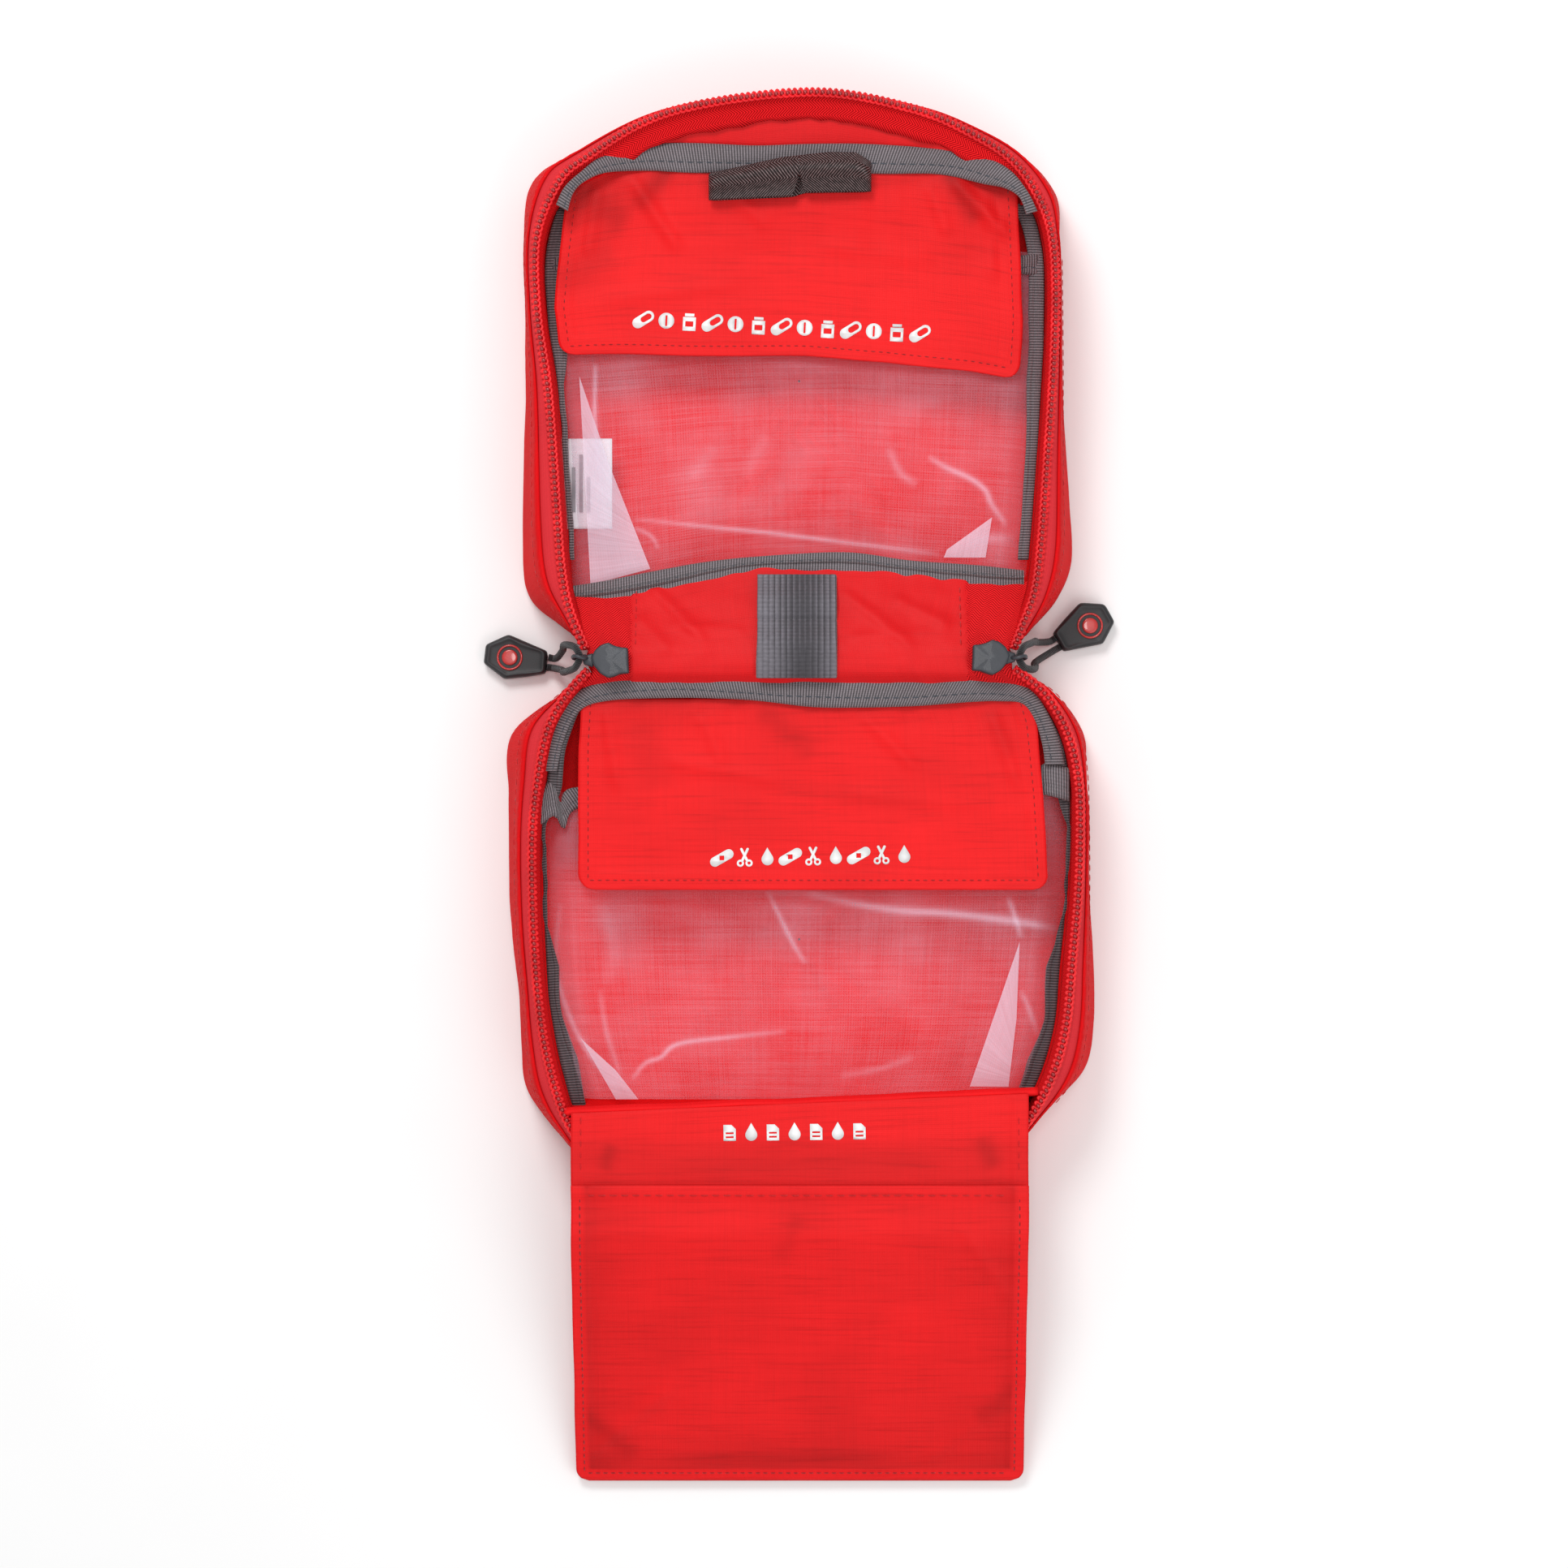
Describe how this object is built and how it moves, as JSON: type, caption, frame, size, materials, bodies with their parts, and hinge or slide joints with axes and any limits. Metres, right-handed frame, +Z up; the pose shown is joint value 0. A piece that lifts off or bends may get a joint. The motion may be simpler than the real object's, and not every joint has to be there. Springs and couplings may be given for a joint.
{
  "type": "first aid kit pouch",
  "caption": "Soft clamshell first aid pouch laid open: two zipped trays joined by a cloth spine, mesh pockets under flaps, and a fold-out document pocket.",
  "frame": {"origin": "middle of the lower tray's underside, on the surface that the open kit lies on", "axes": "+Z up, away from the surface; +Y from the lower tray across the spine to the lid; +X to the right as a reader sees the kit with the lid at the top"},
  "size_m": [0.201, 0.4362, 0.0387],
  "materials": {
    "red_ripstop": "satin ripstop nylon with a fine square grid",
    "red_lining": "thin satin lining cloth, slightly creased",
    "zip_tape": "matte herringbone zip tape",
    "zip_coil": "glossy nylon coil",
    "grey_binding": "matte folded grosgrain binding tape",
    "grey_webbing": "ribbed polyester webbing",
    "black_webbing": "shiny herringbone webbing",
    "clear_mesh": "fine see-through nylon mesh",
    "slider_metal": "semi-gloss slate paint",
    "black_rubber": "matte moulded rubber",
    "black_cord": "matte braided cord",
    "badge_red": "plain domed disc",
    "label_white": "satin care label and white screen print"
  },
  "bodies": {
    "lower_half": {"lower_back_panel": "red_ripstop", "lower_wall_left": "red_ripstop", "lower_wall_right": "red_ripstop", "lower_wall_end": "red_ripstop", "lower_spine_wall": "red_lining", "lower_zip_tape": "zip_tape", "lower_zip_coil": "zip_coil", "lower_mesh_panel": "clear_mesh", "lower_mouth_binding": "grey_binding", "lower_seam_binding_left": "grey_binding", "lower_seam_binding_right": "grey_binding", "lower_top_binding": "grey_binding", "lower_info_gusset": "red_lining", "spine_strap_lower": "grey_webbing", "left_slider_body": "slider_metal", "right_slider_body": "slider_metal"},
    "upper_half": {"upper_back_panel": "red_ripstop", "upper_wall_left": "red_ripstop", "upper_wall_right": "red_ripstop", "upper_wall_end": "red_ripstop", "upper_spine_wall": "red_lining", "upper_spine_lining": "red_lining", "upper_zip_tape": "zip_tape", "upper_zip_coil": "zip_coil", "upper_mesh_panel": "clear_mesh", "upper_mouth_binding": "grey_binding", "upper_seam_binding_left": "grey_binding", "upper_seam_binding_right": "grey_binding", "upper_bottom_binding": "grey_binding", "upper_top_binding": "grey_binding", "upper_flap_root": "red_ripstop", "upper_end_lining": "red_lining", "care_label": "label_white", "spine_strap_upper": "grey_webbing"},
    "upper_flap": {"upper_flap_panel": "red_ripstop"},
    "lower_flap": {"lower_flap_panel": "red_ripstop"},
    "info_root": {"info_label_strip": "red_ripstop", "info_mouth_hem": "red_ripstop"},
    "info_pocket": {"info_back_panel": "red_ripstop", "info_front_panel": "red_ripstop"},
    "hang_loop": {"hang_loop_webbing": "black_webbing"},
    "left_pull": {"left_slider_bail": "slider_metal", "left_pull_cord": "black_cord", "left_pull_grip": "black_rubber", "left_pull_badge": "badge_red"},
    "right_pull": {"right_slider_bail": "slider_metal", "right_pull_cord": "black_cord", "right_pull_grip": "black_rubber", "right_pull_badge": "badge_red"}
  },
  "joints": [
    {"name": "spine_fold", "type": "hinge", "parent": "lower_half", "child": "upper_half", "pos_m": [0, 0.088, 0.035], "axis": [-1, 0, 0], "range_deg": [-180, 0]},
    {"name": "upper_flap_lift", "type": "hinge", "parent": "upper_half", "child": "upper_flap", "pos_m": [0, 0.2275, 0.02315], "axis": [-1, 0, 0], "range_deg": [0, 100]},
    {"name": "lower_flap_lift", "type": "hinge", "parent": "lower_half", "child": "lower_flap", "pos_m": [0, 0.0707, 0.02775], "axis": [-1, 0, 0], "range_deg": [0, 100]},
    {"name": "info_fold", "type": "hinge", "parent": "lower_half", "child": "info_root", "pos_m": [0, -0.049, 0.035], "axis": [1, 0, 0], "range_deg": [-179, 0]},
    {"name": "info_crease", "type": "hinge", "parent": "info_root", "child": "info_pocket", "pos_m": [0, -0.0885, 0.034], "axis": [1, 0, 0], "range_deg": [-22.5, 0]},
    {"name": "hang_loop_swing", "type": "hinge", "parent": "upper_half", "child": "hang_loop", "pos_m": [0, 0.2426, 0.0249], "axis": [-1, 0, 0], "range_deg": [0, 90]},
    {"name": "left_pull_swing", "type": "hinge", "parent": "lower_half", "child": "left_pull", "pos_m": [-0.0676, 0.088, 0.036], "axis": [0, 1, 0], "range_deg": [0, 150]},
    {"name": "right_pull_swing", "type": "hinge", "parent": "lower_half", "child": "right_pull", "pos_m": [0.0676, 0.088, 0.036], "axis": [0, -1, 0], "range_deg": [0, 150]}
  ],
  "couplings": [
    {"joint": "info_crease", "follows": "info_fold", "ratio": 0.12514}
  ]
}
